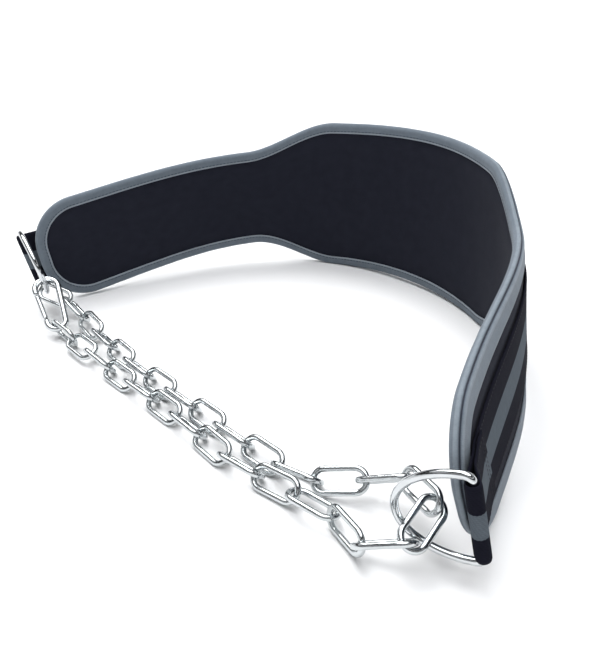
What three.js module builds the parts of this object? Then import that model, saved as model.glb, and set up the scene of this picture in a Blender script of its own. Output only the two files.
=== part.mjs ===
import * as THREE from 'three';

// Weight belt with a chain, standing on its lower edge as it is put down after use.
// Units are millimetres and +Z is up. +X runs from the left end to the right end of the
// belt, and +Y points from the open side to the high back of the belt.

// Panel
const BELT_LENGTH = 820;
const BACK_HEIGHT = 150;
const ARM_HEIGHT = 98;
const ARM_LENGTH = 222;
const SHOULDER_LENGTH = 90;
const CORNER_RADIUS = 30;
const PANEL_THICKNESS = 7.6;

// Edge binding, folded over the panel's edge
const BINDING_THICKNESS = 1.2;
const BINDING_COVER = 13.5;
const BINDING_ROUND = 2.4;

// Webbing strap on the outer face
const STRAP_WIDTH = 50;
const STRAP_THICKNESS = 1.8;
const STRAP_RAMP = 12;
const TAIL_LENGTH = 34;

// D rings
const RING_WIRE = 5;
const RING_DEPTH = 47;
const RING_SIDE_GAP = 1.3;
const RING_CORNER = 4.5;
const LEFT_RING = { reach: 7.2, tuck: 4.5, skew: 4, swing: 88.8 };
const RIGHT_RING = { reach: 7.5, tuck: 0, skew: -9, swing: 93 };

// Carabiner and its gate
const HOOK_WIRE = 5.5;
const HOOK_LENGTH = 62;
const HOOK_WIDTH = 26;
const HOOK_FOOT_WIDTH = 21;
const GATE_WIRE = 4.6;
const GATE_LENGTH = 29;
const HOOK_ANGLE = -26;
const HOOK_TURN = -18;
const HOOK_ROLL = 8;

// Chain
const LINK_WIRE = 4.2;
const LINK_INNER_LENGTH = 31.2;
const LINK_OUTER_WIDTH = 19.4;
const LINK_ROLL = 45;
const LINK_SLACK = 0.3;
const CHAIN_ANGLE = -60;

// Clearances between pieces
const GAP = 0.3;
const STRAP_GAP = 0.6;
const BAR_GAP = 0.8;
const SEAT_ROOM = 2.2;

// How the belt stands, from the left end round the back to the right end, at even steps.
// heading: direction of travel in degrees from +X. height: middle line above the floor as a
// share of BACK_HEIGHT. lean: degrees, positive with the top edge outward.
const STANCE = [
  { heading: 75.6, height: 0.3035, lean: 2.1 },
  { heading: 79.1, height: 0.391, lean: 3.2 },
  { heading: 59.6, height: 0.464, lean: 0.5 },
  { heading: 29.3, height: 0.498, lean: 1.0 },
  { heading: -2.5, height: 0.518, lean: 3.5 },
  { heading: -33.8, height: 0.5, lean: -1.9 },
  { heading: -56.0, height: 0.495, lean: -6.8 },
  { heading: -70.4, height: 0.406, lean: -15.6 },
  { heading: -68.0, height: 0.288, lean: -13.0 },
];

// Where the chain lies, from the left ring to the right ring and back. along: share of the way
// between the two rings' hook points. across: offset to +Y and lift: rise off the surface, in
// millimetres. twist: degrees by which the links are turned from their even lie. The first and
// the last point of the route are the pieces that it hangs on.
const CHAIN_ROUTE = [
  { along: 0.045, across: 7, lift: 11, twist: 0 },
  { along: 0.11, across: 8, lift: 3.5, twist: 0 },
  { along: 0.223, across: 3, lift: 0, twist: 0 },
  { along: 0.36, across: -1.5, lift: 0, twist: 0 },
  { along: 0.54, across: -2, lift: 0, twist: 0 },
  { along: 0.69, across: -2, lift: 0, twist: 0 },
  { along: 0.83, across: 2, lift: 0, twist: 0 },
  { along: 0.883, across: 18.5, lift: 5.7, twist: 5 },
  { along: 0.91, across: 21, lift: 8.6, twist: -21 },
  { along: 0.974, across: 31.6, lift: 20.8, twist: 53 },
  { along: 1.02, across: 24.4, lift: 22, twist: 0 },
  { along: 1.06, across: 10.1, lift: 22.1, twist: 47 },
  { along: 1.059, across: 0.6, lift: 10.6, twist: -26 },
  { along: 1.025, across: -8.1, lift: 15.9, twist: -15 },
  { along: 0.976, across: -19.1, lift: 4.2, twist: 13 },
  { along: 0.944, across: -11.6, lift: 3, twist: -64 },
  { along: 0.844, across: -13.8, lift: 2.1, twist: -12 },
  { along: 0.71, across: -21, lift: 0, twist: 0 },
  { along: 0.6, across: -18.5, lift: 0, twist: 0 },
  { along: 0.46, across: -18, lift: 0, twist: 0 },
  { along: 0.36, across: -19, lift: 0, twist: 0 },
  { along: 0.27, across: -19, lift: 1.5, twist: 10 },
  { along: 0.21, across: -18.5, lift: 1.5, twist: 25 },
];
// At the carabiner's foot: turn of the last link in degrees and rise of the foot in millimetres.
const FOOT_TWIST = 35;
const FOOT_LIFT = 2.7;

const rad = THREE.MathUtils.degToRad;
const lerp = THREE.MathUtils.lerp;

function smooth(t) {
  const c = Math.min(1, Math.max(0, t));
  return c * c * (3 - 2 * c);
}

// The belt's surface

function tableValue(column, share) {
  const n = STANCE.length - 1;
  const p = Math.min(n, Math.max(0, share * n));
  const i = Math.min(n - 1, Math.floor(p));
  const t = p - i;
  const at = (k) => {
    if (k < 0) return 2 * STANCE[0][column] - STANCE[1][column];
    if (k > n) return 2 * STANCE[n][column] - STANCE[n - 1][column];
    return STANCE[k][column];
  };
  const m1 = (at(i + 1) - at(i - 1)) / 2;
  const m2 = (at(i + 2) - at(i)) / 2;
  const t2 = t * t;
  const t3 = t2 * t;
  return (2 * t3 - 3 * t2 + 1) * at(i) + (t3 - 2 * t2 + t) * m1
    + (-2 * t3 + 3 * t2) * at(i + 1) + (t3 - t2) * m2;
}

const LINE_STEPS = 160;

// The middle line of the belt as frames: p middle point, t travel, w up the panel, n outward.
function middleLine() {
  const step = BELT_LENGTH / LINE_STEPS;
  const frames = [];
  let x = 0;
  let y = 0;
  let last = null;
  for (let k = 0; k <= LINE_STEPS; k += 1) {
    const share = k / LINE_STEPS;
    const heading = rad(tableValue('heading', share));
    const dir = [Math.cos(heading), Math.sin(heading)];
    if (last) {
      x += (dir[0] + last[0]) / 2 * step;
      y += (dir[1] + last[1]) / 2 * step;
    }
    last = dir;
    frames.push({ p: new THREE.Vector3(x, y, tableValue('height', share) * BACK_HEIGHT), heading });
  }
  frames.forEach((frame, k) => {
    const a = frames[Math.max(0, k - 1)];
    const b = frames[Math.min(LINE_STEPS, k + 1)];
    const run = step * (Math.min(LINE_STEPS, k + 1) - Math.max(0, k - 1));
    const slope = (b.p.z - a.p.z) / run;
    const outward = new THREE.Vector3(-Math.sin(frame.heading), Math.cos(frame.heading), 0);
    frame.t = new THREE.Vector3(Math.cos(frame.heading), Math.sin(frame.heading), slope).normalize();
    const lean = rad(tableValue('lean', k / LINE_STEPS));
    frame.w = new THREE.Vector3(0, 0, Math.cos(lean)).addScaledVector(outward, Math.sin(lean));
    frame.w.addScaledVector(frame.t, -frame.w.dot(frame.t)).normalize();
    frame.n = new THREE.Vector3().crossVectors(frame.w, frame.t);
  });
  return frames;
}

const LINE = middleLine();

function beltFrame(s) {
  const q = s / BELT_LENGTH * LINE_STEPS;
  const i = Math.min(LINE_STEPS - 1, Math.max(0, Math.floor(q)));
  const f = Math.min(1, Math.max(0, q - i));
  const a = LINE[i];
  const b = LINE[i + 1];
  const frame = {
    p: a.p.clone().lerp(b.p, f),
    t: a.t.clone().lerp(b.t, f).normalize(),
    w: a.w.clone().lerp(b.w, f).normalize(),
    n: a.n.clone().lerp(b.n, f).normalize(),
  };
  const past = s < 0 ? s : Math.max(0, s - BELT_LENGTH);
  frame.p.addScaledVector(frame.t, past);
  return frame;
}

// A point of the bent belt: s along it, n outward from its middle plane, v up it.
function onBelt(s, n, v) {
  const frame = beltFrame(s);
  return frame.p.addScaledVector(frame.n, n).addScaledVector(frame.w, v);
}

function halfHeight(s) {
  const rise = smooth((s - ARM_LENGTH) / SHOULDER_LENGTH)
    * smooth((BELT_LENGTH - ARM_LENGTH - s) / SHOULDER_LENGTH);
  return lerp(ARM_HEIGHT, BACK_HEIGHT, rise) / 2;
}

// Solids

// A closed ring of sections: place(i, j) gives point j of section i.
function ringSolid(sections, points, place) {
  const geometry = new THREE.TorusGeometry(2, 1, points, sections);
  const position = geometry.attributes.position;
  for (let j = 0; j <= points; j += 1) {
    for (let i = 0; i <= sections; i += 1) {
      const p = place(i % sections, j % points);
      position.setXYZ(j * (sections + 1) + i, p.x, p.y, p.z);
    }
  }
  geometry.computeVertexNormals();
  return geometry;
}

// A bent slab: place(x, y, z) takes shares from 0 to 1 and gives the point.
function slabSolid(nx, ny, nz, place) {
  const geometry = new THREE.BoxGeometry(1, 1, 1, nx, ny, nz);
  const position = geometry.attributes.position;
  for (let k = 0; k < position.count; k += 1) {
    const x = Math.round((position.getX(k) + 0.5) * nx) / nx;
    const y = Math.round((position.getY(k) + 0.5) * ny) / ny;
    const z = Math.round((position.getZ(k) + 0.5) * nz) / nz;
    const p = place(x, y, z);
    position.setXYZ(k, p.x, p.y, p.z);
  }
  geometry.computeVertexNormals();
  return geometry;
}

// A closed wire: path points lie in the plane of a and b about origin, sides round the wire.
function wireLoop(path, origin, a, b, diameter, sides) {
  const flat = new THREE.Vector3().crossVectors(a, b).normalize();
  const count = path.length;
  return ringSolid(count, sides, (i, j) => {
    const before = path[(i + count - 1) % count];
    const after = path[(i + 1) % count];
    const tx = after.x - before.x;
    const ty = after.y - before.y;
    const size = Math.hypot(tx, ty);
    const turn = 2 * Math.PI * (j + 0.5) / sides;
    const out = Math.cos(turn) * diameter / 2;
    const x = path[i].x + ty / size * out;
    const y = path[i].y - tx / size * out;
    return origin.clone().addScaledVector(a, x).addScaledVector(b, y)
      .addScaledVector(flat, Math.sin(turn) * diameter / 2);
  });
}

const group = new THREE.Group();

function addPiece(name, geometry, color, roughness, metalness) {
  const material = new THREE.MeshStandardMaterial({ color, roughness, metalness });
  const mesh = new THREE.Mesh(geometry, material);
  mesh.name = name;
  group.add(mesh);
  return mesh;
}

// Panel and binding

const CORNER_STEPS = 4;
const BELT_STEPS = 38;

function beltStation(k) {
  return lerp(CORNER_RADIUS, BELT_LENGTH - CORNER_RADIUS, k / BELT_STEPS);
}

// Stations along one long edge, from the middle of the left end to the middle of the right
// end: s along the belt, half the height there and the inward direction in that plane.
function edgeStations(inset) {
  const radius = CORNER_RADIUS - inset;
  const rows = [];
  const last = BELT_LENGTH - CORNER_RADIUS;
  for (let k = 0; k <= CORNER_STEPS; k += 1) {
    const a = Math.PI / 2 * k / CORNER_STEPS;
    const v = halfHeight(CORNER_RADIUS) - CORNER_RADIUS + radius * Math.sin(a);
    rows.push({ s: CORNER_RADIUS - radius * Math.cos(a), v, is: Math.cos(a), iv: -Math.sin(a) });
  }
  for (let k = 1; k < BELT_STEPS; k += 1) {
    const s = beltStation(k);
    rows.push({ s, v: halfHeight(s) - inset, is: 0, iv: -1 });
  }
  for (let k = CORNER_STEPS; k >= 0; k -= 1) {
    const a = Math.PI / 2 * k / CORNER_STEPS;
    const v = halfHeight(last) - CORNER_RADIUS + radius * Math.sin(a);
    rows.push({ s: last + radius * Math.cos(a), v, is: -Math.cos(a), iv: -Math.sin(a) });
  }
  return rows;
}

const PANEL_INSET = BINDING_THICKNESS + GAP;
const panelRows = edgeStations(PANEL_INSET);
const panelSteps = panelRows.length - 1;
const PANEL_BANDS = 5;
addPiece('neoprene_panel', slabSolid(panelSteps, 1, PANEL_BANDS, (x, y, z) => {
  const row = panelRows[Math.round(x * panelSteps)];
  const band = Math.round(z * PANEL_BANDS);
  const open = row.v - BINDING_COVER + PANEL_INSET;
  let v = lerp(-open, open, (band - 1) / (PANEL_BANDS - 2));
  if (band === 0) v = -row.v;
  if (band === PANEL_BANDS) v = row.v;
  return onBelt(row.s, (y - 0.5) * PANEL_THICKNESS, v);
}), 0x1c1e28, 0.85, 0);

const FACE = PANEL_THICKNESS / 2;
const BINDING_INNER = FACE + GAP;
const BINDING_OUTER = BINDING_INNER + BINDING_THICKNESS;
const bindingSection = [
  { a: BINDING_COVER, n: -BINDING_OUTER },
  { a: BINDING_ROUND, n: -BINDING_OUTER },
  { a: 0, n: BINDING_ROUND - BINDING_OUTER },
  { a: 0, n: BINDING_OUTER - BINDING_ROUND },
  { a: BINDING_ROUND, n: BINDING_OUTER },
  { a: BINDING_COVER, n: BINDING_OUTER },
  { a: BINDING_COVER, n: BINDING_INNER },
  { a: BINDING_THICKNESS, n: BINDING_INNER },
  { a: BINDING_THICKNESS, n: -BINDING_INNER },
  { a: BINDING_COVER, n: -BINDING_INNER },
];
const edge = edgeStations(0);
const perimeter = [
  ...edge,
  ...edge.map((r) => ({ s: r.s, v: -r.v, is: r.is, iv: -r.iv })).reverse(),
];
addPiece('edge_binding', ringSolid(perimeter.length, bindingSection.length, (i, j) => {
  const r = perimeter[i];
  const q = bindingSection[j];
  return onBelt(r.s + q.a * r.is, q.n, r.v + q.a * r.iv);
}), 0x72808f, 0.8, 0);

// Webbing strap

const BAR_RADIUS = RING_WIRE / 2;
const FOLD_RADIUS = BAR_RADIUS + BAR_GAP + STRAP_THICKNESS / 2;
const STRAP_ON_PANEL = FACE + STRAP_GAP + STRAP_THICKNESS / 2;
const STRAP_ON_BINDING = BINDING_OUTER + GAP + STRAP_THICKNESS / 2;
const BAR_OFFSET = STRAP_ON_BINDING + FOLD_RADIUS;
const TAIL_RISE = STRAP_THICKNESS + GAP;
const FOLD_STEPS = 6;

// Offset of the strap's middle from the belt's middle plane, depth counted from the belt end.
function strapOffset(depth) {
  return lerp(STRAP_ON_BINDING, STRAP_ON_PANEL, smooth((depth - BINDING_COVER - GAP) / STRAP_RAMP));
}

// One end of the strap in depth (from the belt end, negative past it) and offset, tail first.
function foldPath({ reach, tuck }) {
  const points = [];
  const touch = BINDING_COVER + STRAP_RAMP;
  [TAIL_LENGTH, touch, BINDING_COVER + STRAP_RAMP / 2, BINDING_COVER].forEach((depth) => {
    points.push({ depth, n: strapOffset(depth) + TAIL_RISE });
  });
  points.push({ depth: BINDING_COVER / 3, n: STRAP_ON_BINDING + TAIL_RISE + GAP });
  for (let k = 0; k <= FOLD_STEPS; k += 1) {
    const a = Math.PI * k / FOLD_STEPS;
    const n = BAR_OFFSET - tuck + FOLD_RADIUS * Math.cos(a);
    points.push({ depth: -reach - FOLD_RADIUS * Math.sin(a), n });
  }
  [0, BINDING_COVER, BINDING_COVER + STRAP_RAMP / 2, touch].forEach((depth) => {
    points.push({ depth, n: strapOffset(depth) });
  });
  return points;
}

const strapPath = [];
const strapEnd = BINDING_COVER + STRAP_RAMP;
foldPath(LEFT_RING).forEach((q) => strapPath.push({ s: q.depth, n: q.n }));
for (let k = 0; k <= BELT_STEPS; k += 1) {
  const s = beltStation(k);
  if (s > strapEnd + GAP && s < BELT_LENGTH - strapEnd - GAP) strapPath.push({ s, n: STRAP_ON_PANEL });
}
foldPath(RIGHT_RING).reverse().forEach((q) => strapPath.push({ s: BELT_LENGTH - q.depth, n: q.n }));

// How far the strap's end is sheared along the belt for each millimetre up the strap.
function shearAt(s) {
  const left = -Math.tan(rad(LEFT_RING.skew)) * smooth(1 - s / strapEnd);
  const right = Math.tan(rad(RIGHT_RING.skew)) * smooth(1 - (BELT_LENGTH - s) / strapEnd);
  return left + right;
}

const strapSteps = strapPath.length - 1;
addPiece('webbing_strap', slabSolid(strapSteps, 1, 2, (x, y, z) => {
  const i = Math.round(x * strapSteps);
  const before = strapPath[Math.max(0, i - 1)];
  const after = strapPath[Math.min(strapSteps, i + 1)];
  const ds = after.s - before.s;
  const dn = after.n - before.n;
  const size = Math.hypot(ds, dn);
  const side = (y - 0.5) * STRAP_THICKNESS;
  const v = (z - 0.5) * STRAP_WIDTH;
  const s = strapPath[i].s - dn / size * side;
  return onBelt(s + v * shearAt(s), strapPath[i].n + ds / size * side, v);
}), 0x23242c, 0.9, 0);

// D rings

const RING_HALF = STRAP_WIDTH / 2 + RING_SIDE_GAP + RING_WIRE / 2;
const BOW_STEPS = 14;
const RING_CORNER_STEPS = 3;
const BOW_START = RING_CORNER + RING_SIDE_GAP;

// A point of the ring's bow in its own plane, angle from -90 (lower end) to 90 (upper end).
function bowPoint(angle) {
  const a = rad(angle);
  return { x: BOW_START + (RING_DEPTH - BOW_START) * Math.cos(a), y: RING_HALF * Math.sin(a) };
}

function ringPath() {
  const path = [];
  for (let k = 0; k <= BOW_STEPS; k += 1) path.push(bowPoint(-90 + 180 * k / BOW_STEPS));
  for (let k = 0; k <= RING_CORNER_STEPS; k += 1) {
    const a = Math.PI / 2 * (1 + k / RING_CORNER_STEPS);
    path.push({ x: RING_CORNER * (1 + Math.cos(a)), y: RING_HALF - RING_CORNER * (1 - Math.sin(a)) });
  }
  for (let k = 0; k <= RING_CORNER_STEPS; k += 1) {
    const a = Math.PI / 2 * (2 + k / RING_CORNER_STEPS);
    path.push({ x: RING_CORNER * (1 + Math.cos(a)), y: RING_CORNER * (1 + Math.sin(a)) - RING_HALF });
  }
  return path;
}

// The place of a ring: bar middle o, bar direction w and direction r of the bow.
function ringPlace(spec, side) {
  const s = side < 0 ? -spec.reach : BELT_LENGTH + spec.reach;
  const frame = beltFrame(s);
  const o = frame.p.clone().addScaledVector(frame.n, BAR_OFFSET - spec.tuck);
  const out = frame.t.clone().multiplyScalar(side);
  const skew = rad(spec.skew);
  const w = frame.w.clone().multiplyScalar(Math.cos(skew)).addScaledVector(out, Math.sin(skew));
  const straight = out.clone().multiplyScalar(Math.cos(skew)).addScaledVector(frame.w, -Math.sin(skew));
  const swing = rad(spec.swing);
  const r = straight.multiplyScalar(Math.cos(swing)).addScaledVector(frame.n, -Math.sin(swing));
  return { o, w, r };
}

function onRing(ring, angle) {
  const q = bowPoint(angle);
  return ring.o.clone().addScaledVector(ring.r, q.x).addScaledVector(ring.w, q.y);
}

const leftRing = ringPlace(LEFT_RING, -1);
const rightRing = ringPlace(RIGHT_RING, 1);
const STEEL = [0xc3c7cc, 0.22, 1];
addPiece('d_ring_left', wireLoop(ringPath(), leftRing.o, leftRing.r, leftRing.w, RING_WIRE, 8), ...STEEL);
addPiece('d_ring_right', wireLoop(ringPath(), rightRing.o, rightRing.r, rightRing.w, RING_WIRE, 8), ...STEEL);

// Carabiner

const LINK_BEND = (LINK_OUTER_WIDTH - LINK_WIRE) / 2;
const LINK_HALF = (LINK_INNER_LENGTH + LINK_WIRE) / 2;
const LINK_REST = LINK_BEND * Math.sin(rad(LINK_ROLL)) + LINK_WIRE / 2;

const HOOK_TOP = (HOOK_WIDTH - HOOK_WIRE) / 2;
const HOOK_FOOT = (HOOK_FOOT_WIDTH - HOOK_WIRE) / 2;
const HOOK_REACH = HOOK_LENGTH - HOOK_WIRE;
const HOOK_SEAT = (RING_WIRE + HOOK_WIRE) / 2 + GAP + SEAT_ROOM;

// Its axis a runs from the ring down to the foot, which lies at the height of the resting
// links, b across it, and c out of its plane.
const hookHold = onRing(leftRing, HOOK_ANGLE);
const hookTurn = rad(HOOK_TURN);
const hookDip = Math.asin((hookHold.z - LINK_REST - FOOT_LIFT) / (HOOK_REACH - HOOK_SEAT));
const hookA = new THREE.Vector3(
  Math.cos(hookTurn) * Math.cos(hookDip),
  Math.sin(hookTurn) * Math.cos(hookDip),
  -Math.sin(hookDip),
);
const hookB = new THREE.Vector3(-Math.sin(hookTurn), Math.cos(hookTurn), 0)
  .applyAxisAngle(hookA, rad(HOOK_ROLL));
const hookO = hookHold.clone().addScaledVector(hookA, -HOOK_SEAT);

function onHook(x, y) {
  return hookO.clone().addScaledVector(hookA, x).addScaledVector(hookB, y);
}

// Both flanks are tangent to the two end circles.
const hookSpan = HOOK_REACH - HOOK_TOP - HOOK_FOOT;
const flank = Math.asin((HOOK_TOP - HOOK_FOOT) / hookSpan);
const flankTop = { x: HOOK_TOP * (1 + Math.sin(flank)), y: HOOK_TOP * Math.cos(flank) };
const flankFoot = {
  x: HOOK_REACH - HOOK_FOOT * (1 - Math.sin(flank)),
  y: HOOK_FOOT * Math.cos(flank),
};
const flankLength = Math.hypot(flankFoot.x - flankTop.x, flankFoot.y - flankTop.y);
const gateStart = (flankLength - GATE_LENGTH) / 2;

function onFlank(distance) {
  const f = distance / flankLength;
  return { x: lerp(flankTop.x, flankFoot.x, f), y: lerp(flankTop.y, flankFoot.y, f) };
}

const HOOK_ARC_STEPS = 7;
const bodyPoints = [];
const nose = onFlank(gateStart);
bodyPoints.push(onHook(nose.x, -nose.y));
for (let k = 0; k <= HOOK_ARC_STEPS; k += 1) {
  const a = lerp(-Math.PI / 2 + flank, -3 * Math.PI / 2 - flank, k / HOOK_ARC_STEPS);
  bodyPoints.push(onHook(HOOK_TOP + HOOK_TOP * Math.cos(a), HOOK_TOP * Math.sin(a)));
}
for (let k = 0; k <= HOOK_ARC_STEPS; k += 1) {
  const a = lerp(Math.PI / 2 - flank, -Math.PI / 2 + flank, k / HOOK_ARC_STEPS);
  bodyPoints.push(onHook(HOOK_REACH - HOOK_FOOT + HOOK_FOOT * Math.cos(a), HOOK_FOOT * Math.sin(a)));
}
const heel = onFlank(gateStart + GATE_LENGTH);
bodyPoints.push(onHook(heel.x, -heel.y));

function roundShape(diameter, sides) {
  const shape = new THREE.Shape();
  for (let k = 0; k < sides; k += 1) {
    const a = 2 * Math.PI * (k + 0.5) / sides;
    const x = Math.cos(a) * diameter / 2;
    const y = Math.sin(a) * diameter / 2;
    if (k === 0) shape.moveTo(x, y);
    else shape.lineTo(x, y);
  }
  return shape;
}

const bodyCurve = new THREE.CatmullRomCurve3(bodyPoints, false, 'centripetal');
addPiece('carabiner_body', new THREE.ExtrudeGeometry(roundShape(HOOK_WIRE, 8), {
  steps: 40,
  bevelEnabled: false,
  extrudePath: bodyCurve,
}), ...STEEL);

// The gate is a round-ended bar between the nose and the heel, hinged at the heel.
const gateFrom = onFlank(gateStart + GAP);
const gateTo = onFlank(gateStart + GATE_LENGTH - GAP);
const gateA = onHook(gateFrom.x, -gateFrom.y);
const gateB = onHook(gateTo.x, -gateTo.y);
const gateLine = gateB.clone().sub(gateA);
const gate = addPiece(
  'carabiner_gate',
  new THREE.CapsuleGeometry(GATE_WIRE / 2, gateLine.length() - GATE_WIRE, 3, 10),
  ...STEEL,
);
gate.position.copy(gateA).lerp(gateB, 0.5);
gate.quaternion.setFromUnitVectors(new THREE.Vector3(0, 1, 0), gateLine.clone().normalize());

// Chain

const LINK_PITCH = LINK_INNER_LENGTH - LINK_SLACK;
const END_STEPS = 5;

function linkPath() {
  const path = [];
  [0, Math.PI].forEach((start) => {
    for (let k = 0; k <= END_STEPS; k += 1) {
      const a = start - Math.PI / 2 + Math.PI * k / END_STEPS;
      const middle = (start ? -1 : 1) * (LINK_HALF - LINK_BEND);
      path.push({ x: middle + LINK_BEND * Math.cos(a), y: LINK_BEND * Math.sin(a) });
    }
  });
  return path;
}

const chainStart = onRing(leftRing, CHAIN_ANGLE);
const chainTurn = onRing(rightRing, 0);
const chainEnd = onHook(HOOK_REACH, 0);
const ringSeat = (RING_WIRE + LINK_WIRE) / 2 + GAP + SEAT_ROOM;
const footSeat = (HOOK_WIRE + LINK_WIRE) / 2 + GAP + SEAT_ROOM;

function routePoints() {
  const points = CHAIN_ROUTE.map((q) => new THREE.Vector3(
    lerp(chainStart.x, chainTurn.x, q.along),
    lerp(chainStart.y, chainTurn.y, q.along) + q.across,
    LINK_REST + q.lift,
  ));
  const first = points[0].clone().sub(chainStart).normalize();
  const last = points[points.length - 1].clone().sub(chainEnd).normalize();
  const hold = (LINK_WIRE + LINK_SLACK) / 2;
  points.unshift(chainStart.clone().addScaledVector(first, hold - ringSeat));
  points.push(chainEnd.clone().addScaledVector(last, hold - footSeat));
  return points;
}

const ROUTE_SAMPLES = 1500;
const route = new THREE.CatmullRomCurve3(routePoints()).getPoints(ROUTE_SAMPLES);
route.slice(1, -1).forEach((q) => {
  q.z = Math.max(q.z, LINK_REST);
});

// Joints between links, a chord apart along the route: point p at share u of the route.
function walkRoute(chords) {
  const joints = [{ p: route[0], u: 0 }];
  let i = 0;
  while (joints.length <= chords.length) {
    const from = joints[joints.length - 1].p;
    const reach = chords[joints.length - 1];
    while (i < ROUTE_SAMPLES && route[i].distanceTo(from) < reach) i += 1;
    if (i === ROUTE_SAMPLES) break;
    const inside = route[i - 1].distanceTo(from);
    const f = (reach - inside) / (route[i].distanceTo(from) - inside);
    joints.push({ p: route[i - 1].clone().lerp(route[i], f), u: (i - 1 + f) / ROUTE_SAMPLES });
  }
  return joints;
}

function twistAt(u) {
  const twists = [0, ...CHAIN_ROUTE.map((q) => q.twist), FOOT_TWIST];
  const q = u * (twists.length - 1);
  const i = Math.min(twists.length - 2, Math.floor(q));
  return lerp(twists[i], twists[i + 1], q - i);
}

// Chords between joints: each link's wires hold each other further in where the chain bends.
function linkChords(joints, count, slack) {
  const hold = new Array(count + 1).fill((LINK_WIRE + LINK_SLACK) / 2);
  for (let k = 1; k < Math.min(count, joints.length - 1); k += 1) {
    const a = joints[k].p.clone().sub(joints[k - 1].p);
    const b = joints[k + 1].p.clone().sub(joints[k].p);
    hold[k] /= Math.cos(a.angleTo(b) / 2) ** 2;
  }
  return hold.slice(1).map((far, k) => 2 * LINK_HALF - hold[k] - far - slack);
}

// As many whole links as the route needs, the rest of the last link's length shared out.
function layChain() {
  let length = 0;
  for (let k = 1; k <= ROUTE_SAMPLES; k += 1) length += route[k].distanceTo(route[k - 1]);
  const count = Math.ceil(length / LINK_PITCH);
  let joints = [];
  for (let round = 0; round < 4; round += 1) {
    let low = -LINK_SLACK;
    let high = LINK_WIRE;
    for (let k = 0; k < 30; k += 1) {
      const slack = (low + high) / 2;
      if (walkRoute(linkChords(joints, count, slack)).length > count) high = slack;
      else low = slack;
    }
    joints = walkRoute(linkChords(joints, count, high));
  }
  return joints;
}

const UP = new THREE.Vector3(0, 0, 1);
const joints = layChain();
for (let k = 0; k + 1 < joints.length; k += 1) {
  const a = joints[k + 1].p.clone().sub(joints[k].p).normalize();
  const side = new THREE.Vector3().crossVectors(UP, a).normalize();
  const roll = (k % 2 ? -LINK_ROLL : LINK_ROLL) + twistAt((joints[k].u + joints[k + 1].u) / 2);
  const b = side.applyAxisAngle(a, rad(roll));
  const middle = joints[k].p.clone().lerp(joints[k + 1].p, 0.5);
  const name = `chain_link_${String(k + 1).padStart(2, '0')}`;
  addPiece(name, wireLoop(linkPath(), middle, a, b, LINK_WIRE, 6), ...STEEL);
}

// The belt stands on z = 0 with its middle over the origin.
const box = new THREE.Box3().setFromObject(group, true);
group.position.set(-(box.min.x + box.max.x) / 2, -(box.min.y + box.max.y) / 2, -box.min.z);

export default group;
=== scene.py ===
# %% [markdown]
# # A dip belt that stands open on its lower edge
# A padded belt with a bound edge, a webbing strap with a D ring in each end, and a steel chain that
# runs from one ring, through the other and back to a small carabiner. The packed CAD part is the
# frame: every piece made here lies in the room that its CAD solid holds, so nothing has to be
# fitted by eye.

import math

import bmesh
import bpy
from mathutils import Matrix, Vector, noise


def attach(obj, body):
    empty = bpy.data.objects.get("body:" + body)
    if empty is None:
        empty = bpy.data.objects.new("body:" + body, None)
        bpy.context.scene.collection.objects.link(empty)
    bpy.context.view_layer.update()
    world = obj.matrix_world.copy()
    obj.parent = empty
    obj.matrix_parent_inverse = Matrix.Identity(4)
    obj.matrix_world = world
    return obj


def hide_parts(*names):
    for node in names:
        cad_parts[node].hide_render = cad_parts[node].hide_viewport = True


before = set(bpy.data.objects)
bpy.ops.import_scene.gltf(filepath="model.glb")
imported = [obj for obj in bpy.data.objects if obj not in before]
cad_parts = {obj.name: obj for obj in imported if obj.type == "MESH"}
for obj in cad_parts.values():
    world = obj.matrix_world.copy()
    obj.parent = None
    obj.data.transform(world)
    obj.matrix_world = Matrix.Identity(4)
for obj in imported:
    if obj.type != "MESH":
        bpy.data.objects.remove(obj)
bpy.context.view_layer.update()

# %% [markdown]
# ## The sizes
# A belt is cut flat and then bent round, so it is modelled the same way: each soft piece is made
# flat, with x along the belt, y up it and z outwards, and one function then bends it. Drawing each
# piece in its bent place would be possible too, but then a weave could not follow it. These are
# the sizes of the flat belt and the way it stands, the same as in the frame, in metres.

# %% Sizes of the flat belt
MM = 0.001
BELT_LENGTH, BACK_HEIGHT, ARM_HEIGHT = 820 * MM, 150 * MM, 98 * MM
ARM_LENGTH, SHOULDER_LENGTH, CORNER_RADIUS = 222 * MM, 90 * MM, 42 * MM
PANEL_THICKNESS = 7.6 * MM
TAPE_THICKNESS, TAPE_COVER, INNER_COVER = 1.2 * MM, 13.5 * MM, 9 * MM
STRAP_WIDTH, STRAP_THICKNESS, STRAP_RAMP, TAIL_LENGTH = 50 * MM, 1.8 * MM, 12 * MM, 34 * MM
GAP, STRAP_GAP, BAR_GAP = 0.3 * MM, 0.6 * MM, 0.8 * MM
RING_WIRE, RING_DEPTH, RING_SIDE_GAP, RING_CORNER = 5 * MM, 47 * MM, 1.3 * MM, 4.5 * MM
LEFT_RING = {"reach": 7.2 * MM, "tuck": 4.5 * MM, "skew": 4, "swing": 88.8}
RIGHT_RING = {"reach": 7.5 * MM, "tuck": 0.0, "skew": -9, "swing": 93}
PLACE = Vector((-239.627, -128.832, 0.144)) * MM
STANCE = [
    {"heading": 75.6, "height": 0.3035, "lean": 2.1},
    {"heading": 79.1, "height": 0.391, "lean": 3.2},
    {"heading": 59.6, "height": 0.464, "lean": 0.5},
    {"heading": 29.3, "height": 0.498, "lean": 1.0},
    {"heading": -2.5, "height": 0.518, "lean": 3.5},
    {"heading": -33.8, "height": 0.5, "lean": -1.9},
    {"heading": -56.0, "height": 0.495, "lean": -6.8},
    {"heading": -70.4, "height": 0.406, "lean": -15.6},
    {"heading": -68.0, "height": 0.288, "lean": -13.0},
]
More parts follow.
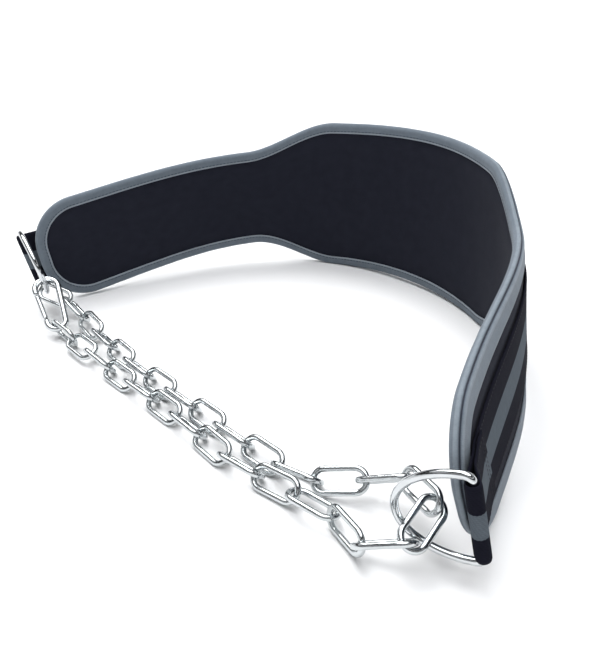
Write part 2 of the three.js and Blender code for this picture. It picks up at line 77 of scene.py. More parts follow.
print("belt", BELT_LENGTH, "m long,", BACK_HEIGHT, "m high at the back")

# %% [markdown]
# ## The line that the belt stands on
# A belt on its edge doesn't make a round ring: it is stiff at the back and springs open at the
# arms. A curve object with a Curve modifier could bend the pieces, but where a point lands can't be
# asked of it, and the rings and stitches need that. So a short table says which way the belt heads,
# how high it stands and how it leans at nine even steps, and a smooth curve between the steps
# gives a frame at every point: travel, up the belt, and outwards.


# %% Values between the steps
def smooth(t):
    t = min(1.0, max(0.0, t))
    return t * t * (3 - 2 * t)


def stance(column, share):
    last = len(STANCE) - 1
    place = min(float(last), max(0.0, share * last))
    i = min(last - 1, int(place))
    t = place - i

    def at(k):
        if k < 0:
            return 2 * STANCE[0][column] - STANCE[1][column]
        if k > last:
            return 2 * STANCE[last][column] - STANCE[last - 1][column]
        return STANCE[k][column]

    start_slope, end_slope = (at(i + 1) - at(i - 1)) / 2, (at(i + 2) - at(i)) / 2
    return (
        (2 * t**3 - 3 * t**2 + 1) * at(i)
        + (t**3 - 2 * t**2 + t) * start_slope
        + (-2 * t**3 + 3 * t**2) * at(i + 1)
        + (t**3 - t**2) * end_slope
    )


print("middle of the back heads", round(stance("heading", 0.5), 1), "degrees round")

# %% A frame at each point of the line
LINE_STEPS = 160


def middle_line():
    step = BELT_LENGTH / LINE_STEPS
    points, headings, spot, last = [], [], Vector((0, 0)), None
    for k in range(LINE_STEPS + 1):
        heading = math.radians(stance("heading", k / LINE_STEPS))
        ahead = Vector((math.cos(heading), math.sin(heading)))
        if last is not None:
            spot = spot + (ahead + last) / 2 * step
        last = ahead
        height = stance("height", k / LINE_STEPS) * BACK_HEIGHT
        points.append(Vector((spot.x, spot.y, height)) + PLACE)
        headings.append(heading)
    frames = []
    for k, (point, heading) in enumerate(zip(points, headings)):
        before, after = max(0, k - 1), min(LINE_STEPS, k + 1)
        slope = (points[after].z - points[before].z) / (step * (after - before))
        outward = Vector((-math.sin(heading), math.cos(heading), 0))
        along = Vector((math.cos(heading), math.sin(heading), slope)).normalized()
        lean = math.radians(stance("lean", k / LINE_STEPS))
        up = Vector((0, 0, math.cos(lean))) + outward * math.sin(lean)
        up = (up - along * up.dot(along)).normalized()
        frames.append((point, along, up, up.cross(along)))
    return frames


LINE = middle_line()
print("line: ends at", tuple(round(x, 3) for x in LINE[-1][0]))


# %% From the flat belt to its place
def belt_frame(s):
    q = s / BELT_LENGTH * LINE_STEPS
    i = min(LINE_STEPS - 1, max(0, math.floor(q)))
    f = min(1.0, max(0.0, q - i))
    point, along, up, out = (a.lerp(b, f) for a, b in zip(LINE[i], LINE[i + 1]))
    past = s if s < 0 else max(0.0, s - BELT_LENGTH)
    along = along.normalized()
    return point + along * past, along, up.normalized(), out.normalized()


def on_belt(s, v, n):
    point, _, up, out = belt_frame(s)
    return point + up * v + out * n


def half_height(s):
    rise = smooth((s - ARM_LENGTH) / SHOULDER_LENGTH)
    rise *= smooth((BELT_LENGTH - ARM_LENGTH - s) / SHOULDER_LENGTH)
    return (ARM_HEIGHT + (BACK_HEIGHT - ARM_HEIGHT) * rise) / 2


print("half height at the arm and the back:", half_height(0), half_height(BELT_LENGTH / 2))

# %% [markdown]
# ## Three helpers for flat pieces
# Every soft piece starts as a grid with a thickness, which is the plainest thing that can be bent.
# A shaping function says where each point of it goes, and another gives its place on the flat cloth
# in metres. That second one is kept as the UV map, so a weave drawn on it follows every bend. An
# unwrap of the bent piece would give a map as well, but not one measured in metres of cloth. The
# third helper makes the finished object, and says which body carries it and what it stands for.


# %% A flat slab
def flat_slab(columns, rows):
    bm = bmesh.new()
    bmesh.ops.create_grid(bm, x_segments=columns, y_segments=rows, size=0.5)
    bmesh.ops.translate(bm, verts=bm.verts, vec=(0.5, 0.5, 0))
    grown = bmesh.ops.extrude_face_region(bm, geom=bm.faces[:])
    top = [g for g in grown["geom"] if isinstance(g, bmesh.types.BMVert)]
    bmesh.ops.translate(bm, verts=top, vec=(0, 0, 1))
    return bm


trial = flat_slab(3, 2)
print("a slab of 3 by 2 squares has", len(trial.faces), "faces, rim included")
trial.free()


# %% Shape it and finish it
def shape(bm, place, cloth):
    layer = bm.loops.layers.uv.new("cloth")
    for face in bm.faces:
        for loop in face.loops:
            loop[layer].uv = cloth(*loop.vert.co)
    for vert in bm.verts:
        vert.co = place(*vert.co)


def finished(name, bm, body, replaced=(), merge=1e-6):
    if merge:
        bmesh.ops.remove_doubles(bm, verts=bm.verts, dist=merge)
    bmesh.ops.recalc_face_normals(bm, faces=bm.faces)
    mesh = bpy.data.meshes.new(name)
    bm.to_mesh(mesh)
    bm.free()
    for polygon in mesh.polygons:
        polygon.use_smooth = True
    piece = bpy.data.objects.new(name, mesh)
    bpy.context.scene.collection.objects.link(piece)
    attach(piece, body)
    if replaced:
        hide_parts(*replaced)
    print(name, len(mesh.polygons), "faces")
    return piece


print("helpers ready: shape and finished")

# %% [markdown]
# ## The padded panel
# A sheet of closed-cell foam with a knitted face on both sides. The tape squeezes its rim, the
# strap presses it where it is sewn on, and it swells a little between them. A cloth simulation
# under pressure would find such a swell on a thick cushion. Here it is under a millimetre and
# follows the seams, so it is shaped directly on the slab, with slow waves from bending.

# %% How thick the panel is
FACE = PANEL_THICKNESS / 2
PANEL_INSET = TAPE_THICKNESS + GAP
SQUEEZED, SQUEEZE_START, SQUEEZE_REACH = FACE - 1.2 * MM, 4 * MM, 16 * MM
CORE, CORE_REACH = 1.2 * MM, 2.6 * MM


def panel_half(from_rim):
    pressed = CORE + (SQUEEZED - CORE) * smooth((from_rim - PANEL_INSET) / CORE_REACH)
    return pressed + (FACE - SQUEEZED) * smooth((from_rim - SQUEEZE_START) / SQUEEZE_REACH)


def panel_edge(s):
    radius = CORNER_RADIUS - PANEL_INSET
    near = min(s, BELT_LENGTH - s) - PANEL_INSET
    if near >= radius:
        return half_height(s) - PANEL_INSET
    drop = radius - math.sqrt(max(0.0, radius**2 - (radius - near) ** 2))
    return half_height(CORNER_RADIUS) - PANEL_INSET - drop


print("panel", round(2 * FACE / MM, 1), "mm thick, squeezed to", round(2 * SQUEEZED / MM, 1), "mm")

# %% Shape the panel
PANEL_COLUMNS, PANEL_ROWS = 205, 34
SWELL_REACH, PRESS_REACH = 14 * MM, 9 * MM
OUTER_SWELL, OUTER_WAVE, INNER_SWELL, INNER_WAVE = 0.9, 0.15, 0.5, 0.8


def panel_place(x, y, z):
    s = PANEL_INSET + x * (BELT_LENGTH - 2 * PANEL_INSET)
    v = (2 * y - 1) * panel_edge(s)
    from_rim = min(half_height(s) - abs(v), s, BELT_LENGTH - s)
    outer = z > 0.5
    swell = smooth((from_rim - (TAPE_COVER if outer else INNER_COVER)) / SWELL_REACH)
    wave = noise.noise(Vector((s * 22, v * 14, z * 3)))
    if outer:
        off_strap = smooth((abs(v) - STRAP_WIDTH / 2) / PRESS_REACH)
        proud = OUTER_SWELL * off_strap + OUTER_WAVE * wave
    else:
        proud = INNER_SWELL + INNER_WAVE * wave
    thick = panel_half(from_rim) + proud * swell * MM
    return on_belt(s, v, thick if outer else -thick)


panel_mesh = flat_slab(PANEL_COLUMNS, PANEL_ROWS)
shape(panel_mesh, panel_place, lambda x, y, z: (x * BELT_LENGTH, (y - 0.5) * BACK_HEIGHT))
panel = finished("neoprene_pad", panel_mesh, "belt", ["neoprene_panel"])

# %% [markdown]
# ## The edge tape
# A woven tape is laid round the raw edge, sewn on along its top and turned over, so the edge shows
# a full round roll, a sunk seam and then a flat band. A profile swept along a curve would give the
# roll, but would twist at the corners. So the tape is a slab like the others, whose length runs
# round the outline and whose width runs over the edge, from the inner face to the outer one.


# %% Stations round the outline
def outline(step):
    rows = []
    quarter = max(3, round(math.pi / 2 * CORNER_RADIUS / step))
    corner_top = half_height(CORNER_RADIUS) - CORNER_RADIUS
    for k in range(quarter + 1):
        a = math.pi / 2 * k / quarter
        v = corner_top + CORNER_RADIUS * math.sin(a)
        rows.append((CORNER_RADIUS * (1 - math.cos(a)), v, math.cos(a), -math.sin(a)))
    straight = BELT_LENGTH - 2 * CORNER_RADIUS
    count = round(straight / step)
    for k in range(1, count):
        s = CORNER_RADIUS + straight * k / count
        rows.append((s, half_height(s), 0.0, -1.0))
    rows += [(BELT_LENGTH - s, v, -ins, inv) for s, v, ins, inv in reversed(rows[: quarter + 1])]
    side = max(2, round(2 * corner_top / step))
    for k in range(1, side):
        rows.append((BELT_LENGTH, corner_top * (1 - 2 * k / side), -1.0, 0.0))
    rows += [(s, -v, ins, -inv) for s, v, ins, inv in reversed(rows[: -(side - 1)])]
    for k in range(1, side):
        rows.append((0.0, -corner_top * (1 - 2 * k / side), 1.0, 0.0))
    return rows


RIM_STEP = 3.6 * MM
rim = outline(RIM_STEP)
rim_run = [0.0]
for before, after in zip(rim, rim[1:] + rim[:1]):
    rim_run.append(rim_run[-1] + math.hypot(after[0] - before[0], after[1] - before[1]))
print("outline:", len(rim), "stations,", round(rim_run[-1], 3), "m round")

# %% The tape's section without its seam
ROLL = SQUEEZED + GAP + TAPE_THICKNESS / 2
INNER_ROWS, ROLL_ROWS, OUTER_ROWS, OUTER_SPACING = 8, 24, 14, 1.2
TAPE_ROWS = INNER_ROWS + ROLL_ROWS + OUTER_ROWS


def tape_middle(row):
    if row <= INNER_ROWS:
        a = INNER_COVER + (ROLL - INNER_COVER) * row / INNER_ROWS
    elif row <= INNER_ROWS + ROLL_ROWS:
        turn = math.pi * (row - INNER_ROWS) / ROLL_ROWS
        return ROLL * (1 - math.sin(turn)), -ROLL * math.cos(turn)
    else:
        share = (row - INNER_ROWS - ROLL_ROWS) / OUTER_ROWS
        a = ROLL + (TAPE_COVER - ROLL) * share**OUTER_SPACING
    lay = ROLL + (FACE - SQUEEZED) * smooth((a - SQUEEZE_START) / SQUEEZE_REACH)
    return a, lay if row > INNER_ROWS else -lay


def run_along(points):
    run = [0.0]
    for before, after in zip(points, points[1:]):
        run.append(run[-1] + math.hypot(after[0] - before[0], after[1] - before[1]))
    return run


plain_section = [tape_middle(row) for row in range(TAPE_ROWS + 1)]
plain_run = run_along(plain_section)
print("roll", round(2 * ROLL / MM, 1), "mm across, section", round(plain_run[-1] / MM, 1), "mm")

# %% The seam sinks into the roll
SEAM_DEPTH, SEAM_WIDTH, SEAM_TURN = 1.15 * MM, 0.85 * MM, 0.7
SEAM_ROW = INNER_ROWS + round(ROLL_ROWS * SEAM_TURN)


def beside(points, row, offset):
    before, after = points[max(0, row - 1)], points[min(len(points) - 1, row + 1)]
    da, dn = after[0] - before[0], after[1] - before[1]
    size = math.hypot(da, dn)
    return points[row][0] - dn / size * offset, points[row][1] + da / size * offset


tape_section = []
for row, run in enumerate(plain_run):
    dip = SEAM_DEPTH * math.exp(-(((run - plain_run[SEAM_ROW]) / SEAM_WIDTH) ** 2))
    tape_section.append(beside(plain_section, row, -dip))
tape_run = run_along(tape_section)
print("tape is", round(tape_run[-1] / MM, 1), "mm wide, seam in row", SEAM_ROW)

# %% Wrap the tape
TAPE_EDGE_TAPER, TAPE_WAVE = 0.55, 0.12 * MM


def tape_place(x, y, z):
    s, v, ins, inv = rim[round(x * len(rim)) % len(rim)]
    row = round(y * TAPE_ROWS)
    thick = (z - 0.5) * TAPE_THICKNESS
    if row in (0, TAPE_ROWS):
        thick *= TAPE_EDGE_TAPER
    wave = TAPE_WAVE * noise.noise(Vector((s * 60, v * 60, tape_section[row][1] * 900)))
    a, n = beside(tape_section, row, thick + wave)
    return on_belt(s + a * ins, v + a * inv, n)


tape_mesh = flat_slab(len(rim), TAPE_ROWS)
shape(
    tape_mesh,
    tape_place,
    lambda x, y, z: (rim_run[round(x * len(rim))], tape_run[round(y * TAPE_ROWS)]),
)
tape = finished("edge_tape", tape_mesh, "belt", ["edge_binding"], 1e-5)

# %% [markdown]
# ## The webbing strap
# One strap runs along the whole outer face, and each end is folded round the bar of a D ring and
# sewn back on itself. Three pieces, a long one and two loops, would be less work, but the stripe
# would break at each join. So it is one slab. Its line is drawn from the side, tail first, as
# distance along the belt and offset from it, and cutting the corners of that line twice gives the
# soft bends of real webbing.

# %% Offsets of the strap
TAPE_OUTER = FACE + GAP + TAPE_THICKNESS
FOLD_RADIUS = RING_WIRE / 2 + BAR_GAP + STRAP_THICKNESS / 2
STRAP_ON_PANEL = FACE + STRAP_GAP + STRAP_THICKNESS / 2
STRAP_ON_TAPE = TAPE_OUTER + GAP + STRAP_THICKNESS / 2
BAR_OFFSET = STRAP_ON_TAPE + FOLD_RADIUS
TAIL_RISE = STRAP_THICKNESS + GAP
RAMP_MIDDLE, RAMP_END = TAPE_COVER + STRAP_RAMP / 2, TAPE_COVER + STRAP_RAMP


def strap_offset(depth):
    t = smooth((depth - TAPE_COVER - GAP) / STRAP_RAMP)
    return STRAP_ON_TAPE + (STRAP_ON_PANEL - STRAP_ON_TAPE) * t


print("strap lies", round(STRAP_ON_PANEL / MM, 1), "to", round(STRAP_ON_TAPE / MM, 1), "mm out")

# %% The strap's line from the side
FOLD_STEPS, STRAIGHT_STEPS = 8, 40


def fold_line(ring):
    tail = [TAIL_LENGTH, RAMP_END, RAMP_MIDDLE, TAPE_COVER]
    points = [(d, strap_offset(d) + TAIL_RISE) for d in tail]
    points.append((TAPE_COVER / 3, STRAP_ON_TAPE + TAIL_RISE + GAP))
    for k in range(FOLD_STEPS + 1):
        a = math.pi * k / FOLD_STEPS
        n = BAR_OFFSET - ring["tuck"] + FOLD_RADIUS * math.cos(a)
        points.append((-ring["reach"] - FOLD_RADIUS * math.sin(a), n))
    return points + [(d, strap_offset(d)) for d in (0, TAPE_COVER, RAMP_MIDDLE, RAMP_END)]


def cut_corners(points):
    cut = [points[0]]
    for (ax, ay), (bx, by) in zip(points, points[1:]):
        cut.append((0.75 * ax + 0.25 * bx, 0.75 * ay + 0.25 * by))
        cut.append((0.25 * ax + 0.75 * bx, 0.25 * ay + 0.75 * by))
    return cut + [points[-1]]


strap_line = fold_line(LEFT_RING)
for k in range(1, STRAIGHT_STEPS):
    s = RAMP_END + (BELT_LENGTH - 2 * RAMP_END) * k / STRAIGHT_STEPS
    strap_line.append((s, STRAP_ON_PANEL))
strap_line += [(BELT_LENGTH - d, n) for d, n in reversed(fold_line(RIGHT_RING))]
strap_line = cut_corners(cut_corners(strap_line))
strap_run = run_along(strap_line)
STRAP_COLUMNS = len(strap_line) - 1
print("strap:", len(strap_line), "points,", round(strap_run[-1], 3), "m of webbing")

# %% Bend the strap
STRAP_ROWS, THINNEST_EDGE, EDGE_SHARPNESS = 26, 0.12, 18


def shear_at(s):
    left = -math.tan(math.radians(LEFT_RING["skew"])) * smooth(1 - s / RAMP_END)
    from_end = BELT_LENGTH - s
    return left + math.tan(math.radians(RIGHT_RING["skew"])) * smooth(1 - from_end / RAMP_END)


def strap_point(i, v, side):
    before, after = strap_line[max(0, i - 1)], strap_line[min(STRAP_COLUMNS, i + 1)]
    ds, dn = after[0] - before[0], after[1] - before[1]
    size = math.hypot(ds, dn)
    s = strap_line[i][0] - dn / size * side
    return on_belt(s + v * shear_at(s), v, strap_line[i][1] + ds / size * side)


def strap_place(x, y, z):
    v = (y - 0.5) * STRAP_WIDTH
    round_edge = math.sqrt(max(THINNEST_EDGE, 1 - (abs(2 * y - 1)) ** EDGE_SHARPNESS))
    return strap_point(round(x * STRAP_COLUMNS), v, (z - 0.5) * STRAP_THICKNESS * round_edge)


strap_mesh = flat_slab(STRAP_COLUMNS, STRAP_ROWS)
shape(
    strap_mesh,
    strap_place,
    lambda x, y, z: (strap_run[round(x * STRAP_COLUMNS)], (y - 0.5) * STRAP_WIDTH),
)
strap = finished("webbing", strap_mesh, "belt", ["webbing_strap"])

# %% [markdown]
# ## The stitches
# Thread shows as a row of small beads that sink into the cloth. They could be drawn in the material
# alone, but then they would have no shadow and no edge against the light. One bead with a few dozen
# faces is made once and copied along each seam: in the sunk seam of the tape, near its inner edge,
# along both edges of the strap, and in rows across it where its tails are sewn down.

# %% One bead and its copies
THREAD_RADIUS, THREAD_PROUD, STITCH = 0.34 * MM, 0.55, 3.4 * MM

bead_mesh = bpy.data.meshes.new("stitch")
bead = bmesh.new()
bmesh.ops.create_uvsphere(bead, u_segments=6, v_segments=5, radius=1.0)
bmesh.ops.rotate(bead, verts=bead.verts, matrix=Matrix.Rotation(math.pi / 2, 3, "Y"))
bead.to_mesh(bead_mesh)
bead.free()


def sew(bm, start, end, out):
    along = (end - start).normalized()
    across = out.cross(along).normalized()
    up = along.cross(across)
    half = (end - start).length / 2
    axes = (along * half, across * THREAD_RADIUS, up * THREAD_RADIUS * THREAD_PROUD)
    place = Matrix(axes).transposed().to_4x4()
    place.translation = (start + end) / 2
    old = len(bm.verts)
    bm.from_mesh(bead_mesh)
    bm.verts.ensure_lookup_table()
    bmesh.ops.transform(bm, verts=bm.verts[old:], matrix=place)


print("one stitch has", len(bead_mesh.polygons), "faces")

# %% Seams of the tape
INNER_SEAM_ROW, TAPE_STITCH = 3, (0.08, 0.92)


def tape_seam(bm, row):
    for k in range(len(rim)):
        x, y = k / len(rim), row / TAPE_ROWS
        start, end = tape_place(x, y, 1), tape_place((k + 1) / len(rim), y, 1)
        p, q = (start.lerp(end, share) for share in TAPE_STITCH)
        sew(bm, p, q, tape_place(x, y, 2) - start)


tape_thread = bmesh.new()
tape_seam(tape_thread, SEAM_ROW)
tape_seam(tape_thread, INNER_SEAM_ROW)
tape_stitches = finished("tape_stitches", tape_thread, "belt", merge=0)

# %% Seams of the strap
STRAP_SEAM, STRAP_STITCH = STRAP_WIDTH / 2 - 2.6 * MM, (0.1, 0.86)


def strap_spot(run, v, side):
    i = min(len(strap_run) - 2, max(k for k, r in enumerate(strap_run) if r <= run))
    f = (run - strap_run[i]) / (strap_run[i + 1] - strap_run[i])
    return strap_point(i, v, side).lerp(strap_point(i + 1, v, side), f)


def strap_sew(bm, start, end, side):
    a, b, up = strap_spot(*start, side), strap_spot(*end, side), strap_spot(*start, 2 * side)
    p, q = (a.lerp(b, share) for share in STRAP_STITCH)
    sew(bm, p, q, (up - a).normalized())


def seam_along(bm, start, end, v, side):
    count = round((end - start) / STITCH)
    for k in range(count):
        a, b = start + (end - start) * k / count, start + (end - start) * (k + 1) / count
        strap_sew(bm, (a, v), (b, v), side)


def seam_across(bm, run, side):
    count = round(2 * STRAP_SEAM / STITCH)
    for k in range(count):
        a, b = STRAP_SEAM * (2 * k / count - 1), STRAP_SEAM * (2 * (k + 1) / count - 1)
        strap_sew(bm, (run, a), (run, b), side)


print("a row across the strap has", round(2 * STRAP_SEAM / STITCH), "stitches")

# %% Sew the strap down
MAIN_FACE, TAIL_FACE = STRAP_THICKNESS / 2, -STRAP_THICKNESS / 2
STRAP_END = strap_run[-1]
SEAM_START = TAIL_LENGTH + LEFT_RING["reach"] + math.pi * FOLD_RADIUS + RAMP_END
SEAM_ROOM, TAIL_FROM, TAIL_ROOM = 8 * MM, 2.5 * MM, 6 * MM
TAIL_ROWS = (3.0 * MM, 6.0 * MM, 24 * MM, 27 * MM)

strap_thread = bmesh.new()
for v in (-STRAP_SEAM, STRAP_SEAM):
    seam_along(
        strap_thread, SEAM_START + SEAM_ROOM, STRAP_END - SEAM_START - SEAM_ROOM, v, MAIN_FACE
    )
    seam_along(strap_thread, TAIL_FROM, TAIL_LENGTH - TAIL_ROOM, v, TAIL_FACE)
    seam_along(
        strap_thread, STRAP_END - TAIL_LENGTH + TAIL_ROOM, STRAP_END - TAIL_FROM, v, TAIL_FACE
    )
for run in TAIL_ROWS:
    seam_across(strap_thread, run, TAIL_FACE)
    seam_across(strap_thread, STRAP_END - run, TAIL_FACE)
strap_stitches = finished("strap_stitches", strap_thread, "belt", merge=0)

# %% [markdown]
# ## Bent wire
# The rings, the carabiner and the links are all bent from round wire. A curve with a round bevel
# would be quick to draw, but it has to be made a mesh before it is finished, and its ends are flat.
# So a circle is carried along the bend and drawn out at each step, as a bender feeds the wire, and
# the thickness may change on the way, for a weld or a domed end.


# %% Sweep a circle along a path
def sweep(bm, path, flat, thick, sides, closed=True):
    count = len(path)
    rings = []
    for i, point in enumerate(path):
        before = path[i - 1] if closed or i else point
        after = path[(i + 1) % count] if closed or i + 1 < count else point
        along = (after - before).normalized()
        across = along.cross(flat).normalized()
        axes = (across * thick(i), flat.normalized() * thick(i), along)
        place = Matrix(axes).transposed().to_4x4()
        place.translation = point
        ring = bmesh.ops.create_circle(bm, segments=sides, radius=1.0, cap_ends=False)["verts"]
        bmesh.ops.transform(bm, verts=ring, matrix=place)
        rings.append(list({e for v in ring for e in v.link_edges}))
    for i in range(count if closed else count - 1):
        bmesh.ops.bridge_loops(bm, edges=rings[i] + rings[(i + 1) % count])
    if not closed:
        bmesh.ops.holes_fill(bm, edges=rings[0] + rings[-1], sides=0)


trial = bmesh.new()
sweep(trial, [Vector((x, 0, 0)) for x in range(3)], Vector((0, 0, 1)), lambda i: 0.1, 8, False)
print("three circles of 8 make a bar of", len(trial.faces), "faces")
trial.free()

# %% [markdown]
# ## The D rings
# Each ring has a straight bar inside the fold and a round bow. Half a torus would make the bow too
# shallow for the real one, so it is half an ellipse, and the two corners are short bends. Each ring
# stands in its fold with its own skew and swing.

# %% The outline of a ring
RING_HALF = STRAP_WIDTH / 2 + RING_SIDE_GAP + RING_WIRE / 2
BOW_START = RING_CORNER + RING_SIDE_GAP
BOW_STEPS, BEND_STEPS, BAR_STEPS, RING_SIDES = 56, 8, 8, 20


def bow_point(angle):
    a = math.radians(angle)
    return BOW_START + (RING_DEPTH - BOW_START) * math.cos(a), RING_HALF * math.sin(a)


def ring_outline():
    path = [bow_point(-90 + 180 * k / BOW_STEPS) for k in range(BOW_STEPS + 1)]
    for k in range(BEND_STEPS + 1):
        a = math.pi / 2 * (1 + k / BEND_STEPS)
        path.append((RING_CORNER * (1 + math.cos(a)), RING_HALF - RING_CORNER * (1 - math.sin(a))))
    for k in range(1, BAR_STEPS):
        path.append((0.0, (RING_HALF - RING_CORNER) * (1 - 2 * k / BAR_STEPS)))
    for k in range(BEND_STEPS + 1):
        a = math.pi / 2 * (2 + k / BEND_STEPS)
        path.append((RING_CORNER * (1 + math.cos(a)), RING_CORNER * (1 + math.sin(a)) - RING_HALF))
    return path


print("ring is", round(2 * RING_HALF / MM, 1), "mm wide and", round(RING_DEPTH / MM, 1), "mm deep")


# %% Both rings
def ring_frame(ring, side):
    point, along, up, out = belt_frame(-ring["reach"] if side < 0 else BELT_LENGTH + ring["reach"])
    middle = point + out * (BAR_OFFSET - ring["tuck"])
    skew, swing = math.radians(ring["skew"]), math.radians(ring["swing"])
    ahead = along * side
    bar = up * math.cos(skew) + ahead * math.sin(skew)
    straight = ahead * math.cos(skew) - up * math.sin(skew)
    return middle, bar, straight * math.cos(swing) - out * math.sin(swing)


def make_ring(name, node, ring, side):
    middle, bar, reach = ring_frame(ring, side)
    path = [middle + reach * x + bar * y for x, y in ring_outline()]
    bm = bmesh.new()
    sweep(bm, path, reach.cross(bar), lambda i: RING_WIRE / 2, RING_SIDES)
    return finished(name, bm, "belt", [node])


left_ring = make_ring("left_ring", "d_ring_left", LEFT_RING, -1)
right_ring = make_ring("right_ring", "d_ring_right", RIGHT_RING, 1)

# %% [markdown]
# ## The chain
# A welded link is a straight-sided loop with round ends, and its weld shows as a small collar in
# the middle of one side. An Array along a curve would set the links evenly, but a chain that has
# been put down lies unevenly. So one link is made flat, and each copy is turned to lie on its CAD
# link, whose middle and long, wide and thin directions are found from its own points.

# %% The outline of a link
LINK_WIRE, LINK_INNER_LENGTH, LINK_OUTER_WIDTH = 4.2 * MM, 31.2 * MM, 19.4 * MM
LINK_BEND = (LINK_OUTER_WIDTH - LINK_WIRE) / 2
LINK_STRAIGHT = (LINK_INNER_LENGTH + LINK_WIRE) / 2 - LINK_BEND
LINK_BEND_STEPS, LINK_SIDE_STEPS, LINK_SIDES = 16, 14, 14


def link_outline():
    path = []
    for start, way in ((0, 1), (math.pi, -1)):
        for k in range(LINK_BEND_STEPS + 1):
            a = start - math.pi / 2 + math.pi * k / LINK_BEND_STEPS
            x = LINK_STRAIGHT * way + LINK_BEND * math.cos(a)
            path.append(Vector((x, LINK_BEND * math.sin(a), 0)))
        for k in range(1, LINK_SIDE_STEPS):
            x = LINK_STRAIGHT * way * (1 - 2 * k / LINK_SIDE_STEPS)
            path.append(Vector((x, LINK_BEND * way, 0)))
    return path


link_path = link_outline()
link_length = LINK_INNER_LENGTH + 2 * LINK_WIRE
print("link:", len(link_path), "steps round,", round(link_length / MM, 1), "mm long outside")

# %% One link with its weld
COLLAR_WIDTH, COLLAR_RISE, GROOVE_WIDTH, GROOVE_DEPTH = 0.9 * MM, 0.09, 0.35 * MM, 0.06


def link_thick(i):
    p = link_path[i]
    if p.y <= 0 or abs(p.x) >= LINK_STRAIGHT * 0.5:
        return LINK_WIRE / 2
    collar = math.exp(-((p.x / COLLAR_WIDTH) ** 2))
    groove = math.exp(-((p.x / GROOVE_WIDTH) ** 2))
    return LINK_WIRE / 2 * (1 + COLLAR_RISE * collar - GROOVE_DEPTH * groove)


link_bm = bmesh.new()
sweep(link_bm, link_path, Vector((0, 0, 1)), link_thick, LINK_SIDES)
bmesh.ops.recalc_face_normals(link_bm, faces=link_bm.faces)
link_mesh = bpy.data.meshes.new("link")
link_bm.to_mesh(link_mesh)
link_bm.free()
print("one link has", len(link_mesh.polygons), "faces")


# %% A copy on every CAD link
def node_frame(node):
    points = [v.co.copy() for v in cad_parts[node].data.vertices]
    middle = sum(points, Vector()) / len(points)
    # Adding the points up by how far they lie along a guess turns the guess to the long direction.
    far = max(points, key=lambda p: (p - middle).length)
    for _ in range(12):
        axis = (far - middle).normalized()
        far = middle + sum(((p - middle) * (p - middle).dot(axis) for p in points), Vector())
    long = (far - middle).normalized()
    # The same sum with the long direction taken out of the points gives the wide one.
    flatten = [p - middle - long * (p - middle).dot(long) for p in points]
    wide = max(flatten, key=lambda p: p.length)
    for _ in range(24):
        axis = wide.normalized()
        wide = sum((p * p.dot(axis) for p in flatten), Vector())
    return middle, long, wide.normalized()


links = []
for name in sorted(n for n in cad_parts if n.startswith("chain_link")):
    middle, long, wide = node_frame(name)
    place = Matrix((long, wide, long.cross(wide))).transposed().to_4x4()
    place.translation = middle
    bm = bmesh.new()
    bm.from_mesh(link_mesh)
    bmesh.ops.transform(bm, verts=bm.verts, matrix=place)
    piece = finished(name.replace("chain_link", "link"), bm, "belt", [name])
    links.append(piece)

# %% [markdown]
# ## The carabiner
# Its body is one piece of wire bent to a pear shape, left open along one side, and the gate closes
# that side. The gate is a round bar with domed ends and a rivet through its heel, and it turns
# inwards on the rivet. Body and gate could be one mesh while the hook is shut, but the gate has a
# CAD body of its own and moves with the hinge, so it and its rivet are pieces that ride on it.

# %% Where the carabiner hangs
HOOK_WIRE, HOOK_LENGTH, HOOK_WIDTH, HOOK_FOOT_WIDTH = 5.5 * MM, 62 * MM, 26 * MM, 21 * MM
HOOK_ANGLE, HOOK_TURN, HOOK_ROLL, SEAT_ROOM, FOOT_LIFT = -26, -18, 8, 2.2 * MM, 2.7 * MM
LINK_REST = LINK_BEND * math.sin(math.radians(45)) + LINK_WIRE / 2
HOOK_REACH = HOOK_LENGTH - HOOK_WIRE
HOOK_SEAT = (RING_WIRE + HOOK_WIRE) / 2 + GAP + SEAT_ROOM

ring_middle, ring_bar, ring_reach = ring_frame(LEFT_RING, -1)
hold_x, hold_y = bow_point(HOOK_ANGLE)
hook_hold = ring_middle + ring_reach * hold_x + ring_bar * hold_y
turn = math.radians(HOOK_TURN)
dip = math.asin((hook_hold.z - PLACE.z - LINK_REST - FOOT_LIFT) / (HOOK_REACH - HOOK_SEAT))
hook_a = Vector((math.cos(turn) * math.cos(dip), math.sin(turn) * math.cos(dip), -math.sin(dip)))
hook_b = Vector((-math.sin(turn), math.cos(turn), 0))
hook_b.rotate(Matrix.Rotation(math.radians(HOOK_ROLL), 3, hook_a))
hook_c = hook_a.cross(hook_b)
hook_origin = hook_hold - hook_a * HOOK_SEAT


def on_hook(x, y):
    return hook_origin + hook_a * x + hook_b * y


print("carabiner hangs", round(math.degrees(dip), 1), "degrees down from the ring")

# %% Its outline, with the gate's two ends
GATE_WIRE, GATE_LENGTH = 4.6 * MM, 29 * MM
HOOK_TOP, HOOK_FOOT = (HOOK_WIDTH - HOOK_WIRE) / 2, (HOOK_FOOT_WIDTH - HOOK_WIRE) / 2
TOP_STEPS, FLANK_STEPS, FOOT_STEPS = 28, 8, 24

flank = math.asin((HOOK_TOP - HOOK_FOOT) / (HOOK_REACH - HOOK_TOP - HOOK_FOOT))
flank_top = Vector((HOOK_TOP * (1 + math.sin(flank)), HOOK_TOP * math.cos(flank)))
foot_x = HOOK_REACH - HOOK_FOOT * (1 - math.sin(flank))
flank_foot = Vector((foot_x, HOOK_FOOT * math.cos(flank)))
flank_length = (flank_foot - flank_top).length
gate_start = (flank_length - GATE_LENGTH) / 2
nose = flank_top.lerp(flank_foot, gate_start / flank_length)
heel = flank_top.lerp(flank_foot, (gate_start + GATE_LENGTH) / flank_length)

